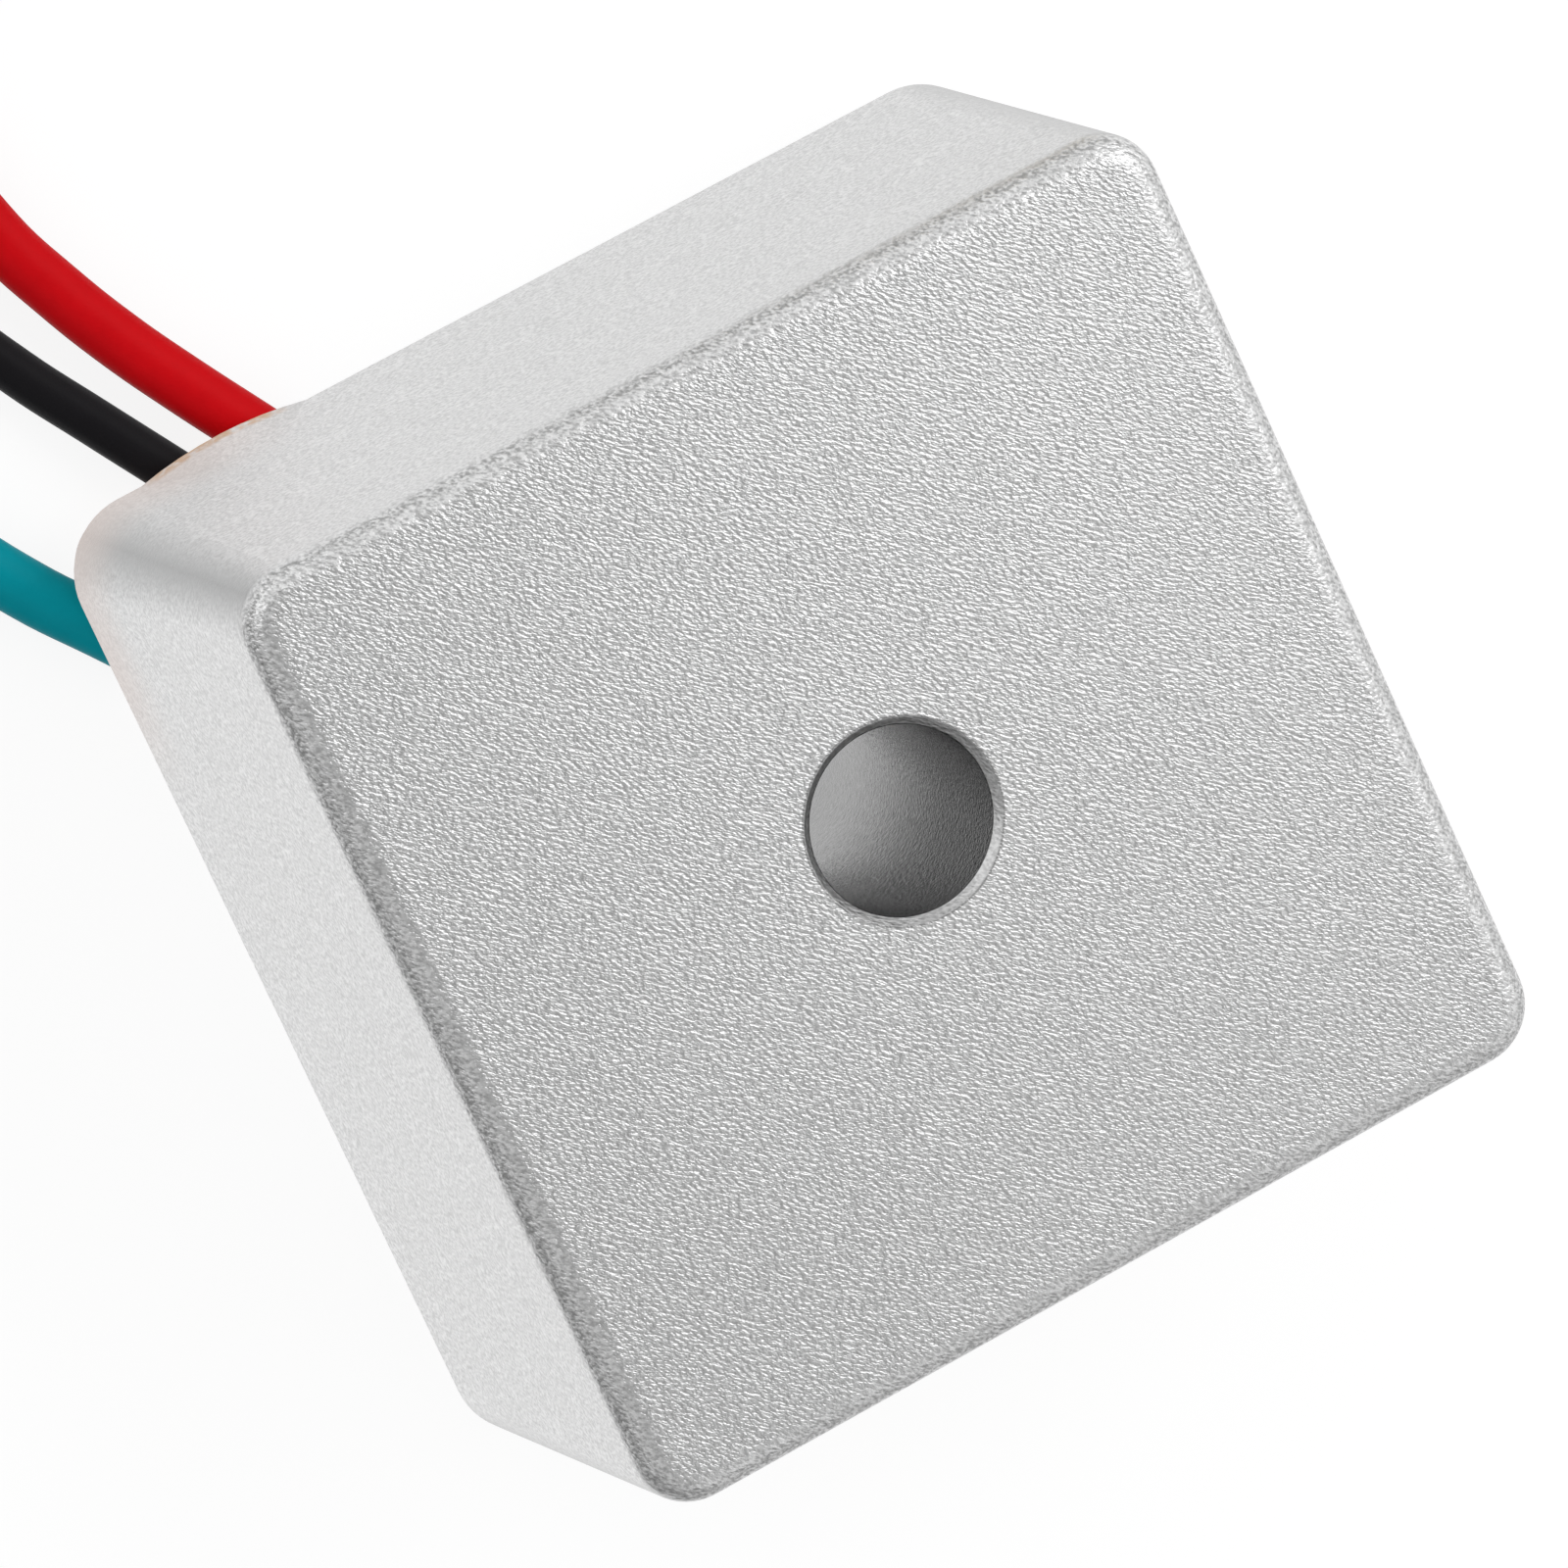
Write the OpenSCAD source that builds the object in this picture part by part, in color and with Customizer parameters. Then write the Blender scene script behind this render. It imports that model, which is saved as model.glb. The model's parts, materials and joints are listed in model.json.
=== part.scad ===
// Voltage regulator rectifier: a die-cast aluminium cup with a bolt bore through its middle,
// filled with potting compound around a small circuit, with three leads out of one corner.
// The walls end in a narrower spigot, which is the open rim. The leads leave through the spigot,
// under the edge of the walls. The part lies on its rim: z = 0 is the rim, +Z points out of
// the cast face, and the Z axis is the axis of the bore.

/* [Housing] */
// Width of the square cast face, over the flat walls
face_w = 46; // [44:0.5:60]
// Depth from the open rim to the cast face
body_h = 28.5; // [27:0.5:36]
// Draft of the walls, in degrees
draft = 1.9; // [1:0.1:3]
// Radius of the upright corners at the cast face
corner_r = 2.75; // [2.2:0.05:5]
// Rounding of the edge around the cast face
edge_r = 1.4; // [0.5:0.05:1.6]
// Thickness of the side walls at their lower edge
wall_t = 2.5; // [2.2:0.1:3]
// Height of the spigot below the walls
spigot_h = 3.5; // [3.3:0.1:5]
// Step from the walls' lower edge in to the spigot
spigot_step = 1; // [0.8:0.05:1.2]
// Thickness of the plate behind the cast face
plate_t = 4; // [3.6:0.1:5]
// Radius of the corners inside the cup, at the plate
cavity_corner_r = 1.8; // [1.6:0.1:3]
// Rounding between the walls and the plate inside the cup
cavity_edge_r = 0.8; // [0.4:0.05:0.8]

/* [Bore] */
// Diameter of the bore for the mounting bolt
bore_d = 8.5; // [6.5:0.1:9]
// Wall of the boss around the bore, at the rim
boss_wall = 2; // [1.6:0.1:2.2]
// Chamfer at each end of the bore
bore_chamfer = 0.35; // [0.1:0.05:0.6]

/* [Lead outlets] */
// Height of the leads' centres above the rim plane where they pass the spigot
outlet_z = 1.85; // [1.75:0.05:2]
// Clearance around each lead in its outlet
outlet_gap = 0.05; // [0.03:0.01:0.2]
// Swelling of the wall's lower edge over the pair of outlets
pair_lip = 0.45; // [0.2:0.05:0.6]
// Length of the swelling along the wall
lip_l = 8.5; // [7:0.5:10]
// Height of the swelling
lip_h = 5; // [4:0.5:8]

/* [Potting] */
// Depth of the potting below the rim
potting_recess = 0.3; // [0.1:0.05:0.5]

/* [Circuit board] */
// Thickness of the board
board_t = 1.6; // [1:0.1:2]
// Height of the board's soldered face above the rim plane
board_z = 6.5; // [5:0.1:8]
// Gap between the board and the walls
board_gap = 0.5; // [0.3:0.1:1]
// Radius of the board's corners
board_corner_r = 2; // [1.8:0.1:4]
// Diameter of the component pins
pin_d = 0.8; // [0.6:0.05:0.9]
// Length of the pins past the soldered face
pin_out = 0.8; // [0.5:0.1:1]
// Radius of a solder joint on the board
joint_r = 1; // [0.8:0.05:1.1]
// Thickness of the solder at the tip of a pin
joint_tip = 0.1; // [0.05:0.01:0.2]
// Least gap between two solder joints
joint_gap = 0.05; // [0.02:0.01:0.1]

/* [Thyristors] */
// Width of a thyristor
thyristor_w = 9.8; // [9:0.1:10]
// Length of a thyristor's moulded body
thyristor_body_l = 9.2; // [8.5:0.1:10]
// Thickness of a thyristor's moulded body
thyristor_t = 4.4; // [4:0.1:5]
// Length of a thyristor's mounting tab
tab_l = 6.5; // [6:0.1:7]
// Thickness of the mounting tab
tab_t = 1.3; // [1:0.1:1.6]
// Distance between a thyristor's pins
thyristor_pitch = 2.54; // [2:0.01:3]
// Length of the pins from the body to their bend
pin_reach = 3; // [2:0.1:4]
// Gap between the tabs' outer ends and the wall
tab_wall_gap = 5.1; // [4:0.1:6]
// Thickness of the insulating pads
pad_t = 0.3; // [0.2:0.05:0.5]
// Border of an insulating pad around its thyristor
pad_border = 0.2; // [0.1:0.05:0.3]
// Diameter of the tab screws' thread
screw_d = 3; // [2.5:0.1:3.4]
// Diameter of the tab screws' heads
screw_head_d = 5.6; // [5:0.1:6]
// Height of the tab screws' heads
screw_head_h = 2; // [1.6:0.1:2.5]
// Depth of the tab screws in the plate
screw_depth = 2.6; // [2:0.1:3]
// Width across the flats of the tab screws' hexagon sockets
socket_w = 2.5; // [2:0.1:3]

/* [Small components] */
// Diameter of a rectifier diode's body
diode_d = 5.3; // [4.5:0.1:5.4]
// Length of a rectifier diode's body
diode_l = 9.5; // [8:0.1:10]
// Distance between a rectifier diode's pins
diode_pitch = 12.7; // [12:0.1:14]
// Distance of the rectifier diodes' outer pins from the board's edge
diode_edge_gap = 3.1; // [2:0.1:4]
// Diameter of the zener diode's body
zener_d = 2.7; // [2:0.1:3]
// Length of the zener diode's body
zener_l = 5.2; // [4:0.1:6]
// Diameter of a resistor's body
resistor_d = 2.5; // [2:0.1:3]
// Length of a resistor's body
resistor_l = 6.4; // [5:0.1:7]
// Distance between the pins of the resistors and the zener diode
small_pitch = 10; // [9:0.1:10.5]
// Distance between rows of small components
row_step = 4.4; // [4:0.1:4.8]
// Row of small components that is nearest to the pins of the thyristors
first_row_y = 3; // [2:0.1:4]
// Gap between the board and the components that lie on it
lay_gap = 0.3; // [0.1:0.05:0.5]
// Diameter of the capacitor
capacitor_d = 8; // [6.3:0.1:8.5]
// Height of the capacitor
capacitor_h = 11; // [9:0.1:11.5]
// Distance between the capacitor's pins
capacitor_pitch = 3.5; // [2.5:0.1:4]
// Gap between the capacitor and the board's edge
capacitor_edge_gap = 2.4; // [1:0.1:3]
// Diameter of the transistor's round side
transistor_d = 4.6; // [4.4:0.1:5]
// Height of the transistor
transistor_h = 4.6; // [4:0.1:5]
// Distance between the transistor's pins
transistor_pitch = 1.75; // [1.6:0.01:1.85]
// Height of the transistor above the board
transistor_lift = 2; // [1:0.1:3]
// Distance of the transistor from the board's right edge
transistor_side = 16.6; // [15.6:0.1:17]
// Distance of the transistor from the board's front edge
transistor_front = 8.1; // [7:0.1:9]

/* [Leads] */
// Outer diameter of the red lead
red_d = 2.7; // [2:0.05:2.9]
// Outer diameter of the black lead
black_d = 2.2; // [2:0.05:2.9]
// Outer diameter of the teal lead
teal_d = 2.8; // [2:0.05:2.9]
// Diameter of the bare conductors
conductor_d = 1.3; // [1:0.05:1.6]
// Distance from the end of a lead's insulation to its solder joint
conductor_reach = 2.4; // [2:0.1:3]

/* [Terminals] */
// Wall of a terminal's crimped barrel
barrel_wall = 0.4; // [0.3:0.05:0.6]
// Length of the barrel, which is the depth of its socket
barrel_l = 5; // [4:0.1:7]
// Diameter of the bullet pin
bullet_d = 4; // [3.5:0.1:4.2]
// Length of the bullet pin
bullet_l = 9; // [7:0.1:12]
// Diameter of the neck between the barrel and the pin
neck_d = 3; // [2.6:0.1:3.4]
// Length of the neck
neck_l = 2; // [1:0.1:3]
// Wall of the insulating sleeve
sleeve_wall = 0.6; // [0.4:0.05:0.65]
// Length of the sleeve
sleeve_l = 13; // [10:0.5:16]

/* [Hidden] */
$fn = 64;
// Overlap of a cut past the face that it opens
cut = 1;
// Half widths over the flats at the cast face and at the walls' lower edge, and corner radius there
face_half = face_w / 2;
wall_h = body_h - spigot_h;
wall_half = face_half + wall_h * tan(draft);
wall_corner_r = corner_r + wall_h * tan(draft);
// Inside of the cup: height of the plate's inner face and half width there
plate_z = body_h - plate_t;
cavity_half = wall_half - wall_t - (plate_z - spigot_h) * tan(draft);
boss_r = bore_d / 2 + boss_wall;
// Free half width of the cup and radius of the boss at a height
function cup_half(z) = cavity_half + (plate_z - z) * tan(draft);
function boss_r_at(z) = boss_r + z * tan(draft);

// Circuit board
board_half = cup_half(board_z + board_t) - board_gap;
board_top = board_z + board_t;
pin_end_z = board_z - pin_out;

// Thyristors: place between the boss and the wall, face that lies on the pad, and pins
thyristor_x = (boss_r_at(plate_z) + cavity_half - cavity_edge_r) / 2;
tab_end_y = cavity_half - tab_wall_gap;
tab_z = plate_z - pad_t;
thyristor_pin_z = tab_z - thyristor_t / 2;
body_end_y = tab_end_y - tab_l - thyristor_body_l;
thyristor_pin_y = body_end_y - pin_reach;
tab_hole_y = tab_end_y - tab_l / 2;

// Small components: heights of their axes and rows
diode_z = board_top + lay_gap + diode_d / 2;
zener_z = board_top + lay_gap + zener_d / 2;
resistor_z = board_top + lay_gap + resistor_d / 2;
diode_x = diode_edge_gap + diode_pitch / 2 - board_half;
diode_rows = [for (i = [0, 1]) -board_half + diode_d / 2 + lay_gap + i * (diode_d + lay_gap)];
small_rows = [for (i = [0, 1]) first_row_y + i * row_step];
capacitor_y = board_half - capacitor_edge_gap - capacitor_d / 2;
transistor_x = board_half - transistor_side;
transistor_y = transistor_front - board_half;

// Leads: route of each, from the end of its insulation inside the potting to the socket
// of its terminal, measured from the corner of the cast face that the leads leave below.
// A route is straight up to its second point.
red_route = [
    [-13.9, 5.9, outlet_z], [-10.3, -0.1, outlet_z], [-8.2, -3.6, 1.6], [-6.4, -6.8, 1.4],
    [-4.8, -10.1, 1.4], [-3.4, -13.6, 1.4], [-2.6, -17.8, 1.4], [-2.8, -22.3, 1.4], [-4.2, -26.8, 1.4],
    [-7, -30.6, 1.4], [-10.8, -33.4, 1.4], [-15.4, -35, 1.4], [-20.4, -35.4, 1.4],
    [-25.6, -34.8, 1.4], [-30.8, -33.8, 1.5], [-35.8, -32.8, 2], [-40.8, -31.8, 2.5], [-45.8, -30.8, 2.5],
    [-50.8, -29.8, 2.5], [-55.8, -28.8, 2.5]
];
black_route = [
    [-9.8, 5.9, outlet_z], [-6.2, 0, outlet_z], [-3.7, -4.1, 1.5], [-1.6, -7.6, 1.2],
    [0.2, -11.2, 1.2], [1.4, -15.2, 1.2], [1.8, -19.6, 1.2], [1.3, -24.2, 1.2], [-0.3, -28.6, 1.2],
    [-3, -32.6, 1.2], [-6.7, -35.8, 1.2], [-11.1, -38.2, 1.2], [-16, -39.6, 1.2],
    [-21.2, -40, 1.2], [-26.4, -39.5, 1.3], [-31.6, -38.8, 1.8], [-36.8, -38.1, 2.3],
    [-41.8, -37.4, 2.3], [-46.8, -36.7, 2.3], [-51.8, -36, 2.3]
];
teal_route = [
    [-4.5, 10.5, outlet_z], [0, 4.5, outlet_z], [2.4, 1.3, 1.6], [4.5, -2.3, 1.5], [6, -6.5, 1.5],
    [6.9, -11.3, 1.5], [7, -16.5, 1.5], [6.3, -21.7, 1.5], [4.6, -26.9, 1.5], [1.9, -31.7, 1.5],
    [-1.8, -35.9, 1.5], [-6.3, -39.3, 1.5], [-11.4, -41.9, 1.5], [-16.7, -43.7, 1.5], [-22.1, -44.7, 1.6],
    [-27.5, -44.9, 2.1], [-32.9, -44.5, 2.6], [-37.9, -43.9, 2.6], [-42.9, -43.3, 2.6],
    [-47.9, -42.7, 2.6]
];
function from_corner(route) = [for (p = route) p + [face_half, -face_half, 0]];
leads = [
    [red_d, from_corner(red_route)],
    [black_d, from_corner(black_route)],
    [teal_d, from_corner(teal_route)]
];
lead_sides = 8;

function unit(v) = v / norm(v);
function lead_start(i) = leads[i][1][0];
function lead_end(i) = leads[i][1][len(leads[i][1]) - 1];
// Direction of a route at a point, from its neighbours
function tangent(p, i) = unit(p[min(i + 1, len(p) - 1)] - p[max(i - 1, 0)]);
// Compass angle of a lead at its start and at its end
function start_turn(i) = let (d = leads[i][1][1] - leads[i][1][0]) atan2(d.y, d.x);
function end_turn(i) = let (p = leads[i][1], n = len(p) - 1, d = p[n] - p[n - 1]) atan2(d.y, d.x);
// Place on the board where a lead's conductor is soldered
function pad_at(i) = let (s = lead_start(i), a = start_turn(i))
    [s.x - conductor_reach * cos(a), s.y - conductor_reach * sin(a)];

// Places of all round pins on the board
function thyristor_pins(side) = [for (i = [-1:1]) [side * thyristor_x + i * thyristor_pitch, thyristor_pin_y]];
function axial_pins(x, y, pitch) = [for (i = [-1, 1]) [x + i * pitch / 2, y]];
function small_pins(side, row) = axial_pins(side * thyristor_x, small_rows[row], small_pitch);
capacitor_pins = axial_pins(0, capacitor_y, capacitor_pitch);
transistor_pins = [for (i = [-1:1]) [transistor_x + i * transistor_pitch, transistor_y]];
pins = concat(
    thyristor_pins(-1), thyristor_pins(1),
    axial_pins(diode_x, diode_rows[0], diode_pitch), axial_pins(diode_x, diode_rows[1], diode_pitch),
    small_pins(-1, 0), small_pins(-1, 1), small_pins(1, 0), small_pins(1, 1),
    capacitor_pins, transistor_pins
);

// Square block with drafted walls, round upright corners and a round upper edge.
// half and r are its half width and corner radius at the top, over sharp edges.
module drafted_block(half, r, z0, z1, edge) {
    a = half - r;
    foot = r + (z1 - z0) * tan(draft);
    edge_x = r + edge * tan(draft) - edge / cos(draft);
    rim_point = [edge_x + edge * cos(draft), z1 - edge + edge * sin(draft)];
    module wall_section() {
        polygon([[0, z0], [foot, z0], rim_point, [edge_x, z1], [0, z1]]);
        translate([edge_x, z1 - edge])
            intersection() {
                circle(edge);
                square(edge);
            }
    }
    module slab() {
        rotate([90, 0, 0])
            linear_extrude(2 * a, center = true) {
                translate([a, 0])
                    wall_section();
                mirror([1, 0])
                    translate([a, 0])
                        wall_section();
                translate([-a, z0])
                    square([2 * a, z1 - z0]);
            }
    }
    slab();
    rotate([0, 0, 90])
        slab();
    for (turn = [0:90:270])
        rotate([0, 0, turn])
            translate([a, a])
                rotate_extrude(angle = 90)
                    wall_section();
}

// Square with round corners
module rounded_square(half, r) {
    a = half - r;
    square([2 * half, 2 * a], center = true);
    square([2 * a, 2 * half], center = true);
    for (x = [-a, a], y = [-a, a])
        translate([x, y])
            circle(r);
}

// Inside of the cup from a height up to the plate, around the boss
module cup_space(z0) {
    difference() {
        drafted_block(cavity_half, cavity_corner_r, z0, plate_z, cavity_edge_r);
        translate([0, 0, z0 - cut])
            cylinder(r1 = boss_r_at(z0 - cut), r2 = boss_r_at(plate_z + cut), h = plate_z - z0 + 2 * cut);
    }
}

// Hole for the bolt, with a chamfer at each end
module bore() {
    translate([0, 0, -cut])
        cylinder(d = bore_d, h = body_h + 2 * cut);
    for (end = [0, 1])
        translate([0, 0, end * body_h])
            mirror([0, 0, end])
                translate([0, 0, -cut])
                    cylinder(d1 = bore_d + 2 * (bore_chamfer + cut), d2 = bore_d, h = bore_chamfer + cut);
}

// Shallow swelling at the lower edge of the front wall, which fades out upwards
module wall_lip(along) {
    lip_r = (pow(lip_l / 2, 2) + pow(pair_lip, 2)) / (2 * pair_lip);
    intersection() {
        translate([along, lip_r - wall_half - pair_lip, spigot_h])
            cylinder(r1 = lip_r, r2 = lip_r - pair_lip - 2 * lip_h * tan(draft), h = lip_h);
        translate([along - lip_l / 2, -wall_half - 2 * pair_lip, spigot_h])
            cube([lip_l, wall_t, lip_h]);
    }
}

// Straight channel for a lead through the spigot, open to the rim
module outlet(i) {
    outlet_r = leads[i][0] / 2 + outlet_gap;
    reach = 2 * wall_t + norm(leads[i][1][1] - leads[i][1][0]);
    translate([lead_start(i).x, lead_start(i).y, outlet_z])
        rotate([0, 0, start_turn(i)]) {
            rotate([0, 90, 0])
                cylinder(r = outlet_r, h = reach);
            translate([0, -outlet_r, -outlet_z - cut])
                cube([reach, 2 * outlet_r, outlet_z + cut]);
        }
}

// Part of a lead that is straight inside the potting
module lead_socket(i) {
    translate([lead_start(i).x, lead_start(i).y, outlet_z])
        rotate([0, 0, start_turn(i)])
            rotate([0, 90, 0])
                cylinder(r = leads[i][0] / 2, h = wall_t + norm(leads[i][1][1] - leads[i][1][0]));
}

// Tab screw holes and the screws share their place
module at_tab_holes() {
    for (side = [-1, 1])
        translate([side * thyristor_x, tab_hole_y, 0])
            children();
}

module housing() {
    lip_middle = (leads[0][1][1].x + leads[1][1][1].x) / 2;
    color("silver")
        difference() {
            union() {
                difference() {
                    union() {
                        drafted_block(face_half, corner_r, spigot_h, body_h, edge_r);
                        wall_lip(lip_middle);
                        linear_extrude(spigot_h + cut)
                            rounded_square(wall_half - spigot_step, wall_corner_r - spigot_step);
                    }
                    drafted_block(cavity_half, cavity_corner_r, -cut, plate_z, cavity_edge_r);
                }
                cylinder(r1 = boss_r, r2 = boss_r_at(plate_z + cut), h = plate_z + cut);
            }
            bore();
            for (i = [0:2])
                outlet(i);
            at_tab_holes()
                translate([0, 0, plate_z - cut])
                    cylinder(d = screw_d, h = screw_depth + cut);
        }
}

// Block of compound that fills the cup, shaped by everything that it surrounds
module potting_compound() {
    color("peru")
        difference() {
            cup_space(potting_recess);
            circuit_board();
            for (side = [-1, 1]) {
                thyristor(side);
                pad(side);
            }
            tab_screws();
            diode(0);
            diode(1);
            zener_diode();
            gate_resistor(-1);
            gate_resistor(1);
            sense_resistor();
            capacitor();
            transistor();
            solder_joints();
            for (i = [0:2]) {
                conductor(i);
                lead_socket(i);
            }
        }
}

module circuit_board() {
    color("darkgreen")
        difference() {
            translate([0, 0, board_z])
                linear_extrude(board_t)
                    rounded_square(board_half, board_corner_r);
            translate([0, 0, board_z - cut])
                cylinder(r = boss_r_at(board_top) + board_gap, h = board_t + 2 * cut);
            for (p = pins)
                translate([p.x, p.y, board_z - cut])
                    cylinder(d = pin_d, h = board_t + 2 * cut);
            for (i = [0:2])
                translate([pad_at(i).x, pad_at(i).y, board_z - cut])
                    cylinder(d = conductor_d, h = board_t + 2 * cut);
        }
}

// Pin that runs from a height down through the board
module pin_down(p, z) {
    translate([p.x, p.y, pin_end_z])
        cylinder(d = pin_d, h = z - pin_end_z);
}

// Moulded body and tab on the plate, with three pins bent down to the board
module thyristor(side) {
    color("dimgray") {
        difference() {
            translate([side * thyristor_x - thyristor_w / 2, body_end_y, 0]) {
                translate([0, 0, tab_z - thyristor_t])
                    cube([thyristor_w, thyristor_body_l, thyristor_t]);
                translate([0, 0, tab_z - tab_t])
                    cube([thyristor_w, thyristor_body_l + tab_l, tab_t]);
            }
            translate([side * thyristor_x, tab_hole_y, tab_z - tab_t - cut])
                cylinder(d = screw_d, h = tab_t + 2 * cut);
        }
        for (p = thyristor_pins(side)) {
            pin_down(p, thyristor_pin_z);
            translate([p.x, p.y, thyristor_pin_z]) {
                sphere(d = pin_d);
                rotate([-90, 0, 0])
                    cylinder(d = pin_d, h = pin_reach + cut);
            }
        }
    }
}

module pad(side) {
    color("lightgray")
        difference() {
            translate([side * thyristor_x - thyristor_w / 2 - pad_border, body_end_y - pad_border, tab_z])
                cube([thyristor_w + 2 * pad_border, thyristor_body_l + tab_l + 2 * pad_border, pad_t]);
            translate([side * thyristor_x, tab_hole_y, tab_z - cut])
                cylinder(d = screw_d, h = pad_t + 2 * cut);
        }
}

// Socket-head screws that hold the two tabs to the plate
module tab_screws() {
    color("lightslategray")
        at_tab_holes()
            difference() {
                union() {
                    translate([0, 0, tab_z - tab_t - screw_head_h])
                        cylinder(d = screw_head_d, h = screw_head_h);
                    translate([0, 0, tab_z - tab_t])
                        cylinder(d = screw_d, h = tab_t + pad_t + screw_depth);
                }
                translate([0, 0, tab_z - tab_t - screw_head_h - cut])
                    cylinder(d = socket_w / cos(30), h = screw_head_h / 2 + cut, $fn = 6);
            }
}

// Body that lies along X over the board, on two pins that are bent down
module axial_part(x, y, z, d, l, pitch) {
    translate([x - l / 2, y, z])
        rotate([0, 90, 0])
            cylinder(d = d, h = l);
    translate([x - pitch / 2, y, z])
        rotate([0, 90, 0])
            cylinder(d = pin_d, h = pitch);
    for (p = axial_pins(x, y, pitch)) {
        translate([p.x, p.y, z])
            sphere(d = pin_d);
        pin_down(p, z);
    }
}

module diode(row) {
    color("black")
        axial_part(diode_x, diode_rows[row], diode_z, diode_d, diode_l, diode_pitch);
}

module zener_diode() {
    color("orangered")
        axial_part(thyristor_x, small_rows[1], zener_z, zener_d, zener_l, small_pitch);
}

module gate_resistor(side) {
    color("tan")
        axial_part(side * thyristor_x, small_rows[0], resistor_z, resistor_d, resistor_l, small_pitch);
}

module sense_resistor() {
    color("tan")
        axial_part(-thyristor_x, small_rows[1], resistor_z, resistor_d, resistor_l, small_pitch);
}

module capacitor() {
    color("midnightblue") {
        translate([0, capacitor_y, board_top + lay_gap])
            cylinder(d = capacitor_d, h = capacitor_h);
        for (p = capacitor_pins)
            pin_down(p, board_top + lay_gap + cut);
    }
}

// Round body with one flat side, on three pins
module transistor() {
    flat_share = 0.35;
    color("black") {
        translate([transistor_x, transistor_y, board_top + transistor_lift])
            difference() {
                cylinder(d = transistor_d, h = transistor_h);
                translate([-transistor_d, -transistor_d * (1 + flat_share), -cut])
                    cube([2 * transistor_d, transistor_d, transistor_h + 2 * cut]);
            }
        for (p = transistor_pins)
            pin_down(p, board_top + transistor_lift + cut);
    }
}

// Cone of solder around each pin on the soldered face
module solder_joints() {
    module joint(p, d, r) {
        translate([p.x, p.y, pin_end_z])
            difference() {
                cylinder(r1 = d / 2 + joint_tip, r2 = r, h = pin_out);
                translate([0, 0, -cut])
                    cylinder(d = d, h = pin_out + 2 * cut);
            }
    }
    color("gainsboro") {
        for (p = pins)
            joint(p, pin_d, min(joint_r, (transistor_pitch - joint_gap) / 2));
        for (i = [0:2])
            joint(pad_at(i), conductor_d, conductor_d / 2 + pin_out / 2);
    }
}

// Bare end of a lead, bent up through the board
module conductor(i) {
    bend_r = conductor_d;
    run = conductor_reach - bend_r;
    color("chocolate")
        translate([lead_start(i).x, lead_start(i).y, outlet_z])
            rotate([0, 0, start_turn(i) + 180]) {
                rotate([0, 90, 0])
                    cylinder(d = conductor_d, h = run);
                translate([run, 0, bend_r]) {
                    rotate([90, 0, 0])
                        rotate([0, 0, -90])
                            rotate_extrude(angle = 90)
                                translate([bend_r, 0])
                                    circle(d = conductor_d);
                    translate([bend_r, 0, 0])
                        cylinder(d = conductor_d, h = board_top - outlet_z - bend_r);
                }
            }
}

// Tube of one lead, a ring of points at each point of its route
module lead(i) {
    p = leads[i][1];
    r = leads[i][0] / 2;
    n = len(p);
    ring_points = [
        for (k = [0:n - 1])
            let (t = tangent(p, k), side = unit(cross(t, [0, 0, 1])), up = cross(side, t))
                for (s = [0:lead_sides - 1])
                    let (a = (s + 0.5) * 360 / lead_sides)
                        p[k] + r * (cos(a) * side + sin(a) * up)
    ];
    walls = [
        for (k = [0:n - 2], s = [0:lead_sides - 1])
            let (a = k * lead_sides + s, b = k * lead_sides + (s + 1) % lead_sides)
                [a, a + lead_sides, b + lead_sides, b]
    ];
    caps = [
        [for (s = [0:lead_sides - 1]) s],
        [for (s = [lead_sides - 1:-1:0]) (n - 1) * lead_sides + s]
    ];
    polyhedron(ring_points, concat(walls, caps));
}

// Places a piece on the end of a lead, its X axis along the lead
module at_lead_end(i) {
    translate(lead_end(i))
        rotate([0, 0, end_turn(i)])
            children();
}

// Turns a profile of radius over length about the X axis
module turned() {
    rotate([0, 90, 0])
        rotate_extrude()
            children();
}

// Bullet terminal: a barrel around the lead's end, a neck and a round-nosed pin
module terminal(i) {
    lead_r = leads[i][0] / 2;
    barrel_r = lead_r + barrel_wall;
    bullet_r = bullet_d / 2;
    nose_r = bullet_r / 2;
    pin_start = neck_l;
    pin_end = neck_l + bullet_l;
    color("goldenrod")
        at_lead_end(i)
            turned() {
                translate([lead_r, -barrel_l])
                    square([barrel_wall, barrel_l]);
                polygon([
                    [0, 0], [barrel_r, 0], [neck_d / 2, neck_l / 2], [neck_d / 2, pin_start],
                    [bullet_r, pin_start + nose_r], [bullet_r, pin_end - nose_r],
                    [bullet_r - nose_r, pin_end], [0, pin_end]
                ]);
                translate([bullet_r - nose_r, pin_end - nose_r])
                    circle(nose_r);
            }
}

// Soft sleeve over the barrel and the last of the lead
module sleeve(i) {
    inner_r = leads[i][0] / 2 + barrel_wall;
    color("whitesmoke")
        at_lead_end(i)
            turned()
                translate([inner_r, -sleeve_l])
                    square([sleeve_wall, sleeve_l]);
}

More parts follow.
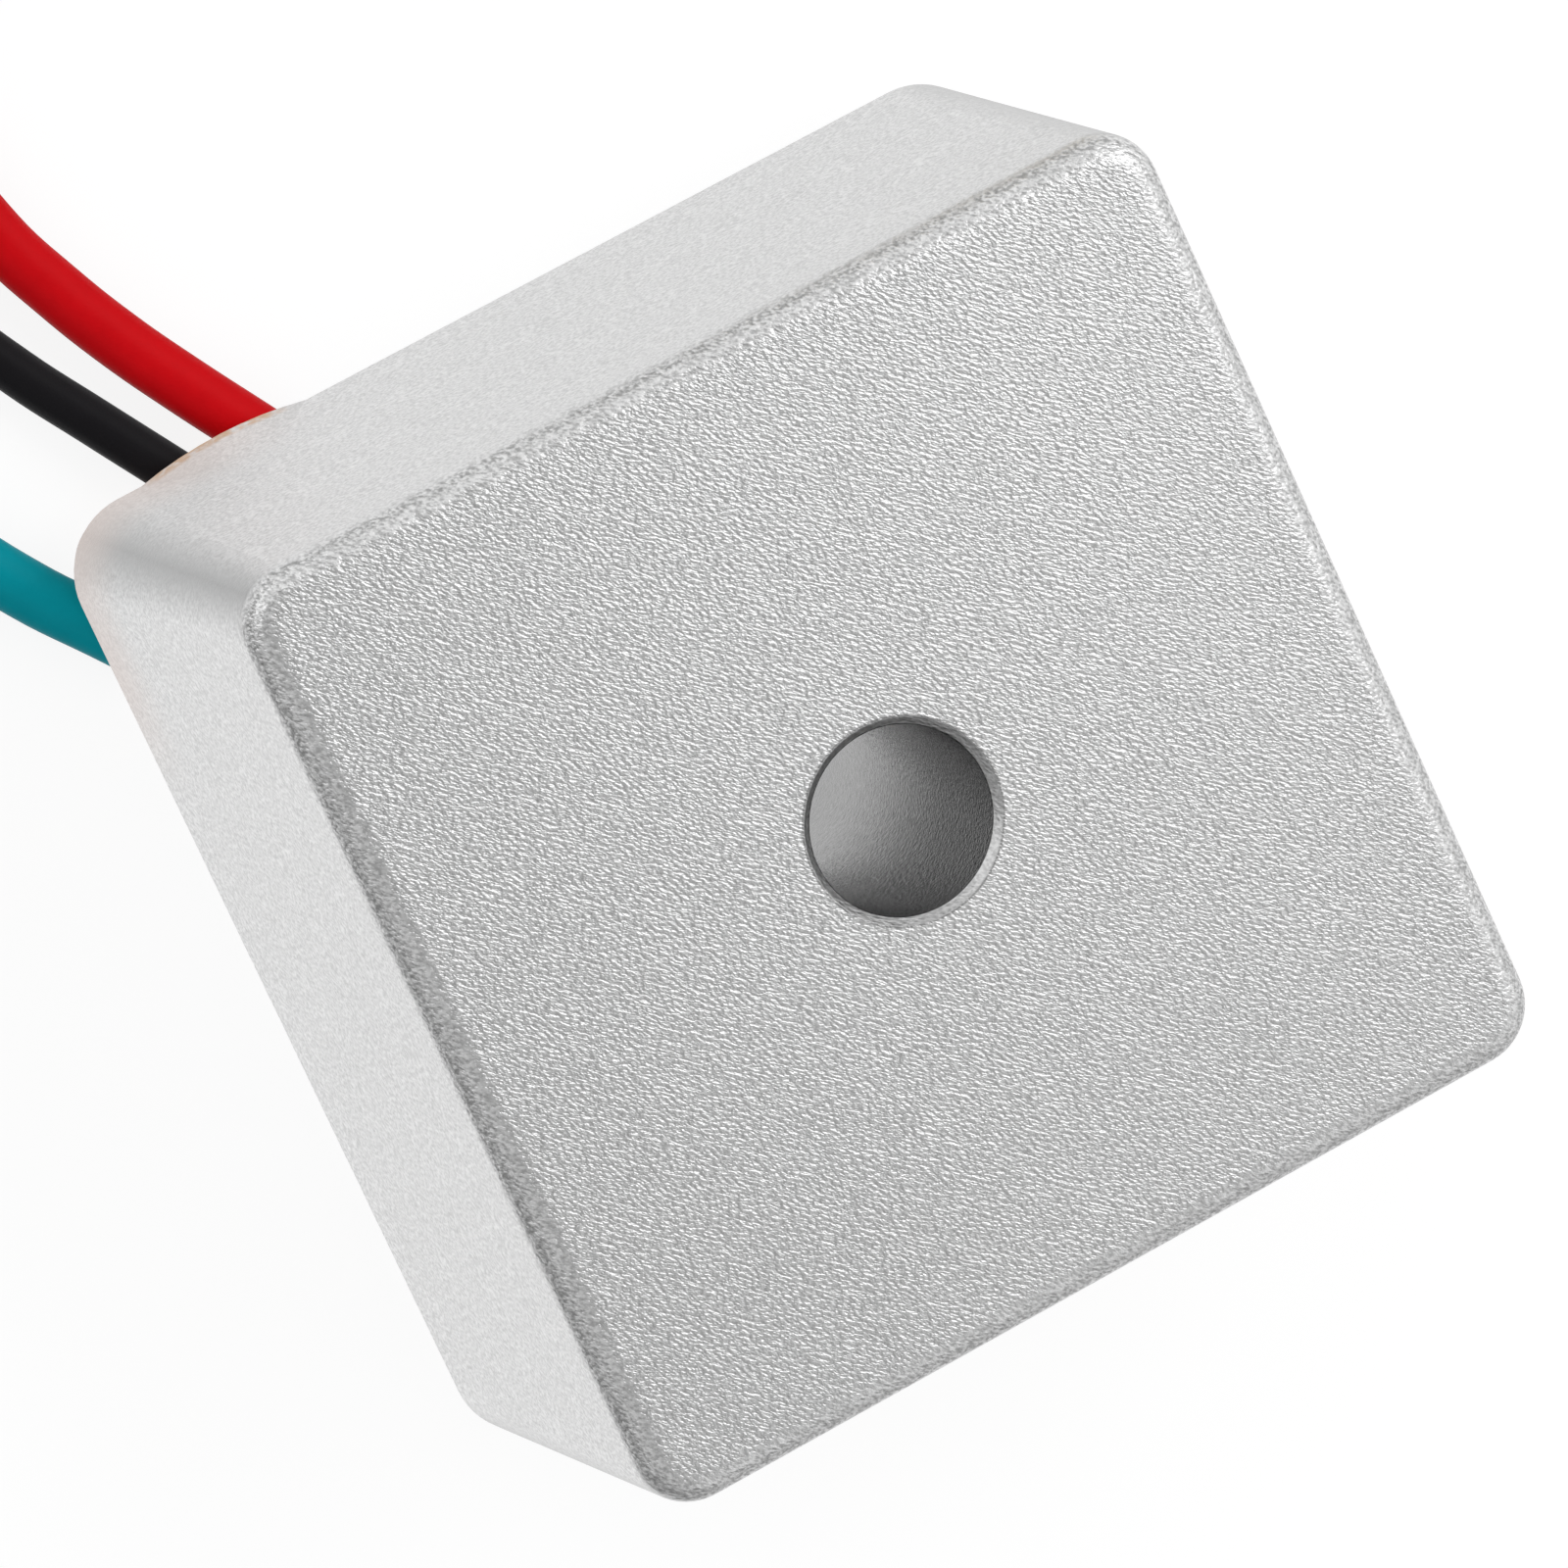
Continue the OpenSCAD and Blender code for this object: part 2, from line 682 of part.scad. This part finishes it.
housing();
potting_compound();
circuit_board();
thyristor(-1);  // thyristor_left
thyristor(1);  // thyristor_right
pad(-1);  // pad_left
pad(1);  // pad_right
tab_screws();
diode(0);  // diode_outer
diode(1);  // diode_inner
zener_diode();
gate_resistor(-1);  // gate_resistor_left
gate_resistor(1);  // gate_resistor_right
sense_resistor();
capacitor();
transistor();
solder_joints();
conductor(0);  // red_conductor
conductor(1);  // black_conductor
conductor(2);  // teal_conductor
color("crimson") lead(0);  // red_lead
color("black") lead(1);  // black_lead
color("teal") lead(2);  // teal_lead
terminal(0);  // red_terminal
terminal(1);  // black_terminal
terminal(2);  // teal_terminal
sleeve(0);  // red_sleeve
sleeve(1);  // black_sleeve
sleeve(2);  // teal_sleeve
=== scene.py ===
"""Looks of a voltage regulator rectifier: a square die-cast block with three leads out of one corner.

Lengths are in metres, in the frame of the CAD part: the Z axis is the axis of the bore, z = 0 is the
open rim, which lies on the floor, and the leads leave the corner at +X -Y.
"""

import json
import math
from collections import namedtuple

import bpy
from mathutils import Matrix, Vector


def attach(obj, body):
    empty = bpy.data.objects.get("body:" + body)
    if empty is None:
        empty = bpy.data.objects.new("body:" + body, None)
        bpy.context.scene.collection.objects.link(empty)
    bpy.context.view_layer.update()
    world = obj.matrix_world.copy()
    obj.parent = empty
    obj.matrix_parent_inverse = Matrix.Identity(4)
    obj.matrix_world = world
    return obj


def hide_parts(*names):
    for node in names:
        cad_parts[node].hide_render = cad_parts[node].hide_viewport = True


MM = 0.001

# Camera, which looks down on the cast face
CAMERA_AZIMUTH = 43.99
CAMERA_ELEVATION = 70.08
CAMERA_ROLL = 109.29
CAMERA_DISTANCE = 0.5248
CAMERA_AIM = Vector((0.00104, -0.0008, 0.016))
CAMERA_LENS = 270
CAMERA_SENSOR = 36
CAMERA_CLIP = 0.01

# Studio: a ceiling, walls that are pale towards PALE_SIDE and dark across from it, and a card
PALE_SIDE = (-0.9, -0.43, 0)
CARD_SIDE = (0.64, -0.7, 0.32)
HORIZON_LIGHT = 0.03
CEILING_LIGHT = 0.47
ZENITH_SHARE = 0.55
DARK_WALL_LIGHT = 0.25
PALE_WALL_LIGHT = 0.85
CARD_LIGHT = 0.6

# Soft box on the pale side, which faces the object
SOFT_BOX_PLACE = Vector((-0.18, -0.06, 0.235))
SOFT_BOX_WIDTH = 0.15
SOFT_BOX_WATTS = 0.17

# Floor: how white it shows, its grey under the lights, and the pool of it that shines on the walls
FLOOR_WHITE = 0.87
FLOOR_GREY = 0.2
FLOOR_HALF = 4
FLOOR_DROP = 0.02 * MM
POOL_MIDDLE = (-0.03, -0.03, 0)
POOL_INNER = 0.085
POOL_OUTER = 0.16
POOL_FAR_WHITE = 0.05

# Bore, the outside of its chamfer, and the fine scored line around that
BORE_R = 4.26 * MM
RING_R = 4.6 * MM
RIM_BLUR = 0.04 * MM
SCORE_RISE = 0.05 * MM
SCORE_WIDTH = 0.08 * MM
SCORE_FADE = 0.06 * MM

# Lower edge of the walls: its height, the corner by the leads, and the swelling above two of them
WALL_FOOT = 3.5 * MM
WALL_CORNER = (23 * MM, -23 * MM, WALL_FOOT)
LIP_MIDDLE = (15.2 * MM, -24.4 * MM, WALL_FOOT)

# Grain of the casting: the one on the cast face is coarse, and longest in one direction
COARSE_GRAIN = 6600
FINE_GRAIN = 5200
GRAIN_TURN = math.radians(138)
GRAIN_STRETCH = (1.9, 0.95, 1)
GRAIN_DEPTH = 0.09 * MM
RING_GRAIN_SHARE = 0.4
WALL_FINE_SHARE = 0.5
FACE_FINE_SHARE = 0.15

# Greys of the casting: where its grain rises from low to high, the grey goes from dark to pale
Tone = namedtuple("Tone", "low high dark pale")
FACE_TONE = Tone(low=0.25, high=0.75, dark=0.61, pale=0.87)
# on the rounding, these wide ranges paint light and shade onto the grain: dark pits and pale rises
BROW_TONE = Tone(low=0.3, high=0.65, dark=0.56, pale=0.98)
EDGE_TONE = Tone(low=0.3, high=0.7, dark=0.41, pale=0.98)
WALL_TONE = Tone(low=0.25, high=0.75, dark=0.56, pale=0.94)
RING_TONE = Tone(low=0.3, high=0.7, dark=0.5, pale=0.72)
# painted shade: the grey of a dark reflection, put along the upright corners of the walls
PAINTED_CORNER_SHADE_GREY = 0.41
SCORE_GREY = 0.4

# The rounding from walls to face: heights of its normal where its finish, then its painted grain shading,
# changes
WALL_TO_EDGE = (0.15, 0.6)
EDGE_TO_BROW = (0.62, 0.8)
BROW_TO_FACE = (0.95, 0.999)

# Inside of the bore: a darker turned finish, with painted shade that darkens it from deep down up to its
# mouth
BORE_DEEP_Z = 7 * MM
BORE_MOUTH_Z = 24 * MM
BORE_DEEP_GREY = 0.36
BORE_MOUTH_SHADE_GREY = 0.05
BORE_GRAIN = 3500
BORE_SPECKLE = 0.1

# Gloss of the casting
WALL_ROUGHNESS = 0.3
FACE_ROUGHNESS = 0.36
BORE_ROUGHNESS_SHARE = 0.5

# Colours on the walls by the leads: a pinkish, darker tint low on the walls, and a line of resin
LOW_PINK_TINT_COLOUR = (0.74, 0.62, 0.57, 1)
RESIN_COLOUR = (0.6, 0.4, 0.26, 1)

# Leads: routes in millimetres, measured from the corner of the cast face that they leave below
FACE_CORNER = (23, -23, 0)
OUTLET_Z = 1.85
LEADS = {
    "red": {
        "diameter": 2.7,
        "route": [
            (-13.9, 5.9, OUTLET_Z), (-10.3, -0.1, OUTLET_Z), (-8.2, -3.6, 1.6), (-6.4, -6.8, 1.4),
            (-4.8, -10.1, 1.4), (-3.4, -13.6, 1.4), (-2.6, -17.8, 1.4), (-2.8, -22.3, 1.4),
            (-4.2, -26.8, 1.4), (-7, -30.6, 1.4), (-10.8, -33.4, 1.4), (-15.4, -35, 1.4),
            (-20.4, -35.4, 1.4), (-25.6, -34.8, 1.4), (-30.8, -33.8, 1.5), (-35.8, -32.8, 2),
            (-40.8, -31.8, 2.5), (-45.8, -30.8, 2.5), (-50.8, -29.8, 2.5), (-55.8, -28.8, 2.5),
        ],
    },
    "black": {
        "diameter": 2.2,
        "route": [
            (-9.8, 5.9, OUTLET_Z), (-6.2, 0, OUTLET_Z), (-3.7, -4.1, 1.5), (-1.6, -7.6, 1.2),
            (0.2, -11.2, 1.2), (1.4, -15.2, 1.2), (1.8, -19.6, 1.2), (1.3, -24.2, 1.2),
            (-0.3, -28.6, 1.2), (-3, -32.6, 1.2), (-6.7, -35.8, 1.2), (-11.1, -38.2, 1.2),
            (-16, -39.6, 1.2), (-21.2, -40, 1.2), (-26.4, -39.5, 1.3), (-31.6, -38.8, 1.8),
            (-36.8, -38.1, 2.3), (-41.8, -37.4, 2.3), (-46.8, -36.7, 2.3), (-51.8, -36, 2.3),
        ],
    },
    "teal": {
        "diameter": 2.8,
        "route": [
            (-4.5, 10.5, OUTLET_Z), (0, 4.5, OUTLET_Z), (2.4, 1.3, 1.6), (4.5, -2.3, 1.5),
            (6, -6.5, 1.5), (6.9, -11.3, 1.5), (7, -16.5, 1.5), (6.3, -21.7, 1.5),
            (4.6, -26.9, 1.5), (1.9, -31.7, 1.5), (-1.8, -35.9, 1.5), (-6.3, -39.3, 1.5),
            (-11.4, -41.9, 1.5), (-16.7, -43.7, 1.5), (-22.1, -44.7, 1.6), (-27.5, -44.9, 2.1),
            (-32.9, -44.5, 2.6), (-37.9, -43.9, 2.6), (-42.9, -43.3, 2.6), (-47.9, -42.7, 2.6),
        ],
    },
}

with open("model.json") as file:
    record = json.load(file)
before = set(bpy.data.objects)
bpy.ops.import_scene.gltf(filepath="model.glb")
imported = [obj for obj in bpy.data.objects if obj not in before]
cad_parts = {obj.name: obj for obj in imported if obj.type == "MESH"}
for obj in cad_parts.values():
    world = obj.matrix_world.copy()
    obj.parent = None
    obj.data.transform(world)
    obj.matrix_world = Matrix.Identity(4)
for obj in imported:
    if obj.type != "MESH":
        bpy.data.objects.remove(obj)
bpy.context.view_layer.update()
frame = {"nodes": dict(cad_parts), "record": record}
nodes = frame["nodes"]


def make_camera():
    angles = (CAMERA_AZIMUTH, CAMERA_ELEVATION, CAMERA_ROLL)
    azimuth, elevation, roll = (math.radians(angle) for angle in angles)
    back = Vector((
        math.sin(azimuth) * math.cos(elevation),
        -math.cos(azimuth) * math.cos(elevation),
        math.sin(elevation),
    ))
    right = Matrix.Rotation(roll, 3, back) @ Vector((math.cos(azimuth), math.sin(azimuth), 0))
    up = back.cross(right)
    data = bpy.data.cameras.new("camera")
    data.sensor_width = CAMERA_SENSOR
    data.lens = CAMERA_LENS
    data.clip_start = CAMERA_CLIP
    camera = bpy.data.objects.new("camera", data)
    turn = Matrix((right, up, back)).transposed().to_4x4()
    camera.matrix_world = Matrix.Translation(CAMERA_AIM + CAMERA_DISTANCE * back) @ turn
    bpy.context.scene.collection.objects.link(camera)
    bpy.context.scene.camera = camera


def make_lead(colour, diameter, route):
    """A round lead along the route of its CAD tube, which it hides."""
    points = [(Vector(p) + Vector(FACE_CORNER)) * MM for p in route]
    data = bpy.data.curves.new(f"{colour}_insulation", "CURVE")
    data.dimensions = "3D"
    data.bevel_depth = 1  # the radius of each knot sets the thickness
    data.bevel_resolution = 6
    data.resolution_u = 6
    data.use_fill_caps = True
    spline = data.splines.new("BEZIER")
    spline.bezier_points.add(len(points) - 1)
    for knot, point in zip(spline.bezier_points, points):
        knot.co = point
        knot.radius = diameter * MM / 2
        knot.handle_left_type = knot.handle_right_type = "AUTO"
    lead = bpy.data.objects.new(f"{colour}_insulation", data)
    bpy.context.scene.collection.objects.link(lead)
    lead.visible_glossy = False  # the walls of the photo show no colour of the leads
    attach(lead, "root")
    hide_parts(f"{colour}_lead")
    return lead


def add(tree, kind, inputs=None, **attributes):
    """Adds a node to a tree, sets its attributes, and sets or links its inputs."""
    node = tree.nodes.new(kind)
    for name, value in attributes.items():
        setattr(node, name, value)
    for name, value in (inputs or {}).items():
        if isinstance(value, bpy.types.NodeSocket):
            tree.links.new(value, node.inputs[name])
        else:
            node.inputs[name].default_value = value
    return node


def new_material(name, **constants):
    """A material, its tree, and its Principled shader with these constant inputs."""
    material = bpy.data.materials.new(name)
    material.use_nodes = True
    tree = material.node_tree
    shader = tree.nodes["Principled BSDF"]
    for socket, value in constants.items():
        shader.inputs[socket.replace("_", " ")].default_value = value
    return material, tree, shader


def place_of(tree):
    return add(tree, "ShaderNodeTexCoord").outputs["Object"]


def separate(tree, vector):
    return add(tree, "ShaderNodeSeparateXYZ", {0: vector}).outputs


def noise(tree, place, scale, detail=2.0, roughness=0.5):
    inputs = {"Vector": place, "Scale": scale, "Detail": detail, "Roughness": roughness}
    return add(tree, "ShaderNodeTexNoise", inputs).outputs[0]


def maths(tree, operation, a, b=0.0):
    return add(tree, "ShaderNodeMath", {0: a, 1: b}, operation=operation).outputs[0]


def vector_maths(tree, operation, a, b=(0, 0, 0)):
    """An operation on vectors that gives one number."""
    return add(tree, "ShaderNodeVectorMath", {0: a, 1: b}, operation=operation).outputs["Value"]


def step(tree, value, low, high, to_low=0.0, to_high=1.0):
    """Smooth step from to_low to to_high, as a value goes from low to high."""
    inputs = {"Value": value, "From Min": low, "From Max": high, "To Min": to_low, "To Max": to_high}
    return add(tree, "ShaderNodeMapRange", inputs, interpolation_type="SMOOTHSTEP").outputs[0]


def mix(tree, factor, a, b):
    colours = {6: a, 7: b}
    return add(tree, "ShaderNodeMix", {"Factor": factor, **colours}, data_type="RGBA").outputs[2]


def grey(value):
    return (value, value, value, 1)


def toned(tree, grain, tone):
    return mix(tree, step(tree, grain, tone.low, tone.high), grey(tone.dark), grey(tone.pale))


def bump(tree, height, distance):
    return add(tree, "ShaderNodeBump", {"Height": height, "Distance": distance, "Strength": 1.0}).outputs[0]


def cast_aluminium():
    """Blasted aluminium: coarse grain on the cast face, fine grain on the walls and a turned bore, with
    painted shade in the bore and along the wall corners, and painted light and shade on the grain of the
    rounding.
    """
    material, tree, shader = new_material("cast_aluminium", Metallic=1.0)
    place = place_of(tree)
    normal = separate(tree, add(tree, "ShaderNodeNewGeometry").outputs["Normal"])
    on_face = step(tree, normal["Z"], *WALL_TO_EDGE)
    in_bore, in_ring, on_score = bore_masks(tree, place)
    coarse, fine = grains(tree, place)

    light = mix(tree, on_face, wall_tone(tree, fine, normal), face_tone(tree, coarse, normal))
    light = tinted_near_leads(tree, light, place)
    light = mix(tree, in_ring, light, toned(tree, coarse, RING_TONE))
    light = mix(tree, in_bore, light, bore_grey_and_painted_shade(tree, place))
    light = mix(tree, on_score, light, grey(SCORE_GREY))
    tree.links.new(light, shader.inputs["Base Color"])

    rough = step(tree, on_face, 0, 0.6, WALL_ROUGHNESS, FACE_ROUGHNESS)
    rough = maths(tree, "MULTIPLY", rough, step(tree, in_bore, 0, 1, 1, BORE_ROUGHNESS_SHARE))
    tree.links.new(rough, shader.inputs["Roughness"])

    coarse_share = maths(tree, "MULTIPLY", on_face, step(tree, in_ring, 0, 1, 1, RING_GRAIN_SHARE))
    fine_share = step(tree, on_face, 0, 1, WALL_FINE_SHARE, FACE_FINE_SHARE)
    coarse_height = maths(tree, "MULTIPLY", coarse, coarse_share)
    height = maths(tree, "ADD", coarse_height, maths(tree, "MULTIPLY", fine, fine_share))
    tree.links.new(bump(tree, height, GRAIN_DEPTH), shader.inputs["Normal"])
    return material


def bore_masks(tree, place):
    """1 inside the bore, 1 inside its ring too, and 1 on the line around the ring, each with 0 elsewhere."""
    axis = separate(tree, place)
    across = add(tree, "ShaderNodeCombineXYZ", {"X": axis["X"], "Y": axis["Y"]}).outputs[0]
    radius = vector_maths(tree, "LENGTH", across)

    def inside(limit, blur):
        return step(tree, radius, limit, limit + blur, 1, 0)

    outside_ring = step(tree, radius, RING_R, RING_R + SCORE_RISE)
    on_score = maths(tree, "MULTIPLY", outside_ring, inside(RING_R + SCORE_WIDTH, SCORE_FADE))
    return inside(BORE_R, RIM_BLUR), inside(RING_R, RIM_BLUR), on_score


def grains(tree, place):
    """The coarse grain of the cast face and the fine grain of the walls."""
    turned = {"Vector": place, "Rotation": (0, 0, GRAIN_TURN), "Scale": GRAIN_STRETCH}
    lay = add(tree, "ShaderNodeMapping", turned, vector_type="TEXTURE").outputs[0]
    return noise(tree, lay, COARSE_GRAIN, 2, 0.5), noise(tree, place, FINE_GRAIN, 3, 0.6)


def face_tone(tree, coarse, normal):
    """The cast face, with a brow and an edge on the rounding around it, whose greys paint light and shade
    onto the grain.
    """
    upper = mix(tree, step(tree, normal["Z"], *BROW_TO_FACE),
                toned(tree, coarse, BROW_TONE), toned(tree, coarse, FACE_TONE))
    return mix(tree, step(tree, normal["Z"], *EDGE_TO_BROW), toned(tree, coarse, EDGE_TONE), upper)


def wall_tone(tree, fine, normal):
    """The walls, with painted shade along their upright corners: a dark reflection there, and a trace of it
    on the walls at Y.
    """
    return mix(tree, painted_corner_shade_mask(tree, normal), toned(tree, fine, WALL_TONE), grey(PAINTED_CORNER_SHADE_GREY))


def painted_corner_shade_mask(tree, normal):
    """1 near the middle of an upright corner, 0 on the walls at X and a trace on those at Y: where shade is
    painted.
    """
    x, y = (maths(tree, "ABSOLUTE", normal[axis]) for axis in "XY")
    towards_y = 0.2
    lean = maths(tree, "ABSOLUTE", maths(tree, "ADD", maths(tree, "SUBTRACT", x, y), towards_y))
    peak = maths(tree, "MAXIMUM", maths(tree, "SUBTRACT", 1, lean), 0)
    return maths(tree, "MULTIPLY", peak, step(tree, normal["Z"], 0.15, 0.5, 1, 0))


def bore_grey_and_painted_shade(tree, place):
    # painted shade: the grey falls from deep down to nearly black at the mouth
    speckle = step(tree, noise(tree, place, BORE_GRAIN, 3, 0.6), 0.3, 0.7, -BORE_SPECKLE, BORE_SPECKLE)
    rise = step(tree, separate(tree, place)["Z"], BORE_DEEP_Z, BORE_MOUTH_Z)
    return mix(tree, maths(tree, "ADD", rise, speckle), grey(BORE_DEEP_GREY), grey(BORE_MOUTH_SHADE_GREY))


def tinted_near_leads(tree, light, place):
    """A pinkish, darker tint low on the walls by the leads, and a tan line of resin along the edge above two
    of them.
    """
    z = separate(tree, place)["Z"]

    def near(point, inner, outer):
        return step(tree, vector_maths(tree, "DISTANCE", place, point), inner, outer, 1, 0)

    def below(low, high, most=1.0):
        return step(tree, z, WALL_FOOT + low, WALL_FOOT + high, most, 0)

    # a pinkish, darker tint near the corner where the leads leave, fading up the walls
    low_tint = near(WALL_CORNER, inner=5 * MM, outer=13 * MM)
    low_tint = maths(tree, "MULTIPLY", low_tint, below(low=0, high=7 * MM, most=0.6))
    light = mix(tree, low_tint, light, LOW_PINK_TINT_COLOUR)
    resin = near(LIP_MIDDLE, inner=2.6 * MM, outer=4 * MM)
    resin = maths(tree, "MULTIPLY", resin, below(low=0.4 * MM, high=0.9 * MM))
    patches = step(tree, noise(tree, place, 1500, 3), 0.3, 0.55)
    return mix(tree, maths(tree, "MULTIPLY", resin, patches), light, RESIN_COLOUR)


def insulation(name, colour):
    """Extruded PVC, with faint blotches and a dull gloss."""
    material, tree, shader = new_material(name, Roughness=0.5, Specular_IOR_Level=0.08)
    place = place_of(tree)
    blotch = noise(tree, place, 900, 3)
    dark = tuple(0.85 * c for c in colour) + (1,)
    tree.links.new(mix(tree, blotch, dark, tuple(colour) + (1,)), shader.inputs["Base Color"])
    tree.links.new(bump(tree, noise(tree, place, 6000, 2), 0.01 * MM), shader.inputs["Normal"])
    return material


def speckled(name, colour, roughness, grain=3000, share=0.25, depth=0.01 * MM, **more):
    """A plain finish with a grain of its own in tone and relief."""
    material, tree, shader = new_material(name, Roughness=roughness, **more)
    spots = noise(tree, place_of(tree), grain, 4)
    dark = tuple((1 - share) * c for c in colour) + (1,)
    tree.links.new(mix(tree, spots, dark, tuple(colour) + (1,)), shader.inputs["Base Color"])
    tree.links.new(bump(tree, spots, depth), shader.inputs["Normal"])
    return material


def make_finishes():
    """One material for each material slot of the record."""
    return {
        "cast_aluminium": cast_aluminium(),
        "potting_resin": speckled("potting_resin", (0.42, 0.30, 0.18), 0.35),
        "board_laminate": speckled("board_laminate", (0.05, 0.22, 0.10), 0.5),
        "black_moulding": speckled("black_moulding", (0.03, 0.03, 0.03), 0.55),
        "silicone_pad": speckled("silicone_pad", (0.60, 0.60, 0.60), 0.7),
        "zinc_steel": speckled("zinc_steel", (0.62, 0.62, 0.64), 0.35, Metallic=1.0),
        "glass_diode": speckled("glass_diode", (0.70, 0.18, 0.05), 0.15),
        "resistor_body": speckled("resistor_body", (0.72, 0.58, 0.38), 0.5),
        "capacitor_sleeve": speckled("capacitor_sleeve", (0.04, 0.05, 0.15), 0.3),
        "solder": speckled("solder", (0.70, 0.70, 0.70), 0.3, Metallic=1.0),
        "copper": speckled("copper", (0.70, 0.35, 0.20), 0.35, Metallic=1.0),
        "brass_terminal": speckled("brass_terminal", (0.75, 0.58, 0.28), 0.3, Metallic=1.0),
        "clear_sleeve": speckled("clear_sleeve", (0.85, 0.85, 0.80), 0.25, Transmission_Weight=0.7),
        "red_insulation": insulation("red_insulation", (0.82, 0.003, 0.008)),
        "black_insulation": insulation("black_insulation", (0.013, 0.012, 0.014)),
        "teal_insulation": insulation("teal_insulation", (0.0003, 0.39, 0.48)),
    }


def dress(leads, finishes):
    """Gives each CAD node the material of its slot, and each lead that of its colour."""
    for subpart in frame["record"]["subparts"]:
        mesh = nodes[subpart["node"]].data
        mesh.materials.clear()
        mesh.materials.append(finishes[subpart["material_slot"]])
    for colour, lead in leads.items():
        lead.data.materials.append(finishes[f"{colour}_insulation"])


def pale_floor():
    """Shows white and keeps the object's shadow. Reflections see it white only around the object."""
    material = bpy.data.materials.new("pale_floor")
    material.use_nodes = True
    tree = material.node_tree
    tree.nodes.clear()
    path = add(tree, "ShaderNodeLightPath").outputs
    mirrored = maths(tree, "MAXIMUM", path["Is Glossy Ray"], path["Is Transmission Ray"])
    distance = vector_maths(tree, "DISTANCE", place_of(tree), POOL_MIDDLE)
    pool = step(tree, distance, POOL_INNER, POOL_OUTER, FLOOR_WHITE, POOL_FAR_WHITE)
    shown = maths(tree, "MULTIPLY", path["Is Camera Ray"], FLOOR_WHITE)
    shown = maths(tree, "ADD", shown, maths(tree, "MULTIPLY", mirrored, pool))
    glow = add(tree, "ShaderNodeEmission", {"Strength": shown})
    body = add(tree, "ShaderNodeBsdfDiffuse", {"Color": grey(FLOOR_GREY)})
    both = add(tree, "ShaderNodeAddShader", {0: glow.outputs[0], 1: body.outputs[0]})
    add(tree, "ShaderNodeOutputMaterial", {"Surface": both.outputs[0]})
    return material


def make_floor():
    half = FLOOR_HALF
    corners = [(-half, -half, 0), (half, -half, 0), (half, half, 0), (-half, half, 0)]
    mesh = bpy.data.meshes.new("floor")
    mesh.from_pydata(corners, [], [(0, 1, 2, 3)])
    mesh.materials.append(pale_floor())
    floor = bpy.data.objects.new("floor", mesh)
    floor.location.z = -FLOOR_DROP
    bpy.context.scene.collection.objects.link(floor)


def make_studio():
    """Light from all around: a pale ceiling, walls that are dark on one side, and a card."""
    world = bpy.data.worlds.new("studio")
    bpy.context.scene.world = world
    world.use_nodes = True
    tree = world.node_tree
    towards = add(tree, "ShaderNodeTexCoord").outputs["Generated"]
    rise = separate(tree, towards)["Z"]
    ceiling = step(tree, rise, 0, 0.6, HORIZON_LIGHT, CEILING_LIGHT)
    ceiling = maths(tree, "MULTIPLY", ceiling, step(tree, rise, 0.75, 1, 1, ZENITH_SHARE))
    to_pale_side = vector_maths(tree, "DOT_PRODUCT", towards, PALE_SIDE)
    wall = step(tree, to_pale_side, -1, 0.6, DARK_WALL_LIGHT, PALE_WALL_LIGHT)
    wall = maths(tree, "MULTIPLY", wall, maths(tree, "SUBTRACT", 1, rise))
    to_card = vector_maths(tree, "DOT_PRODUCT", towards, CARD_SIDE)
    card = step(tree, to_card, 0.8, 0.95, 0, CARD_LIGHT)
    strength = maths(tree, "ADD", maths(tree, "ADD", ceiling, wall), card)
    surround = tree.nodes["Background"]
    surround.inputs["Color"].default_value = grey(1)
    tree.links.new(strength, surround.inputs["Strength"])


def make_soft_box():
    data = bpy.data.lights.new("soft_box", "AREA")
    data.size = SOFT_BOX_WIDTH
    data.energy = SOFT_BOX_WATTS
    lamp = bpy.data.objects.new("soft_box", data)
    lamp.location = SOFT_BOX_PLACE
    lamp.rotation_euler = (-SOFT_BOX_PLACE).to_track_quat("-Z", "Y").to_euler()
    bpy.context.scene.collection.objects.link(lamp)


make_camera()
leads = {colour: make_lead(colour, **facts) for colour, facts in LEADS.items()}
dress(leads, make_finishes())
make_floor()
make_studio()
make_soft_box()
bpy.context.scene.view_settings.view_transform = "Standard"

bpy.context.view_layer.update()
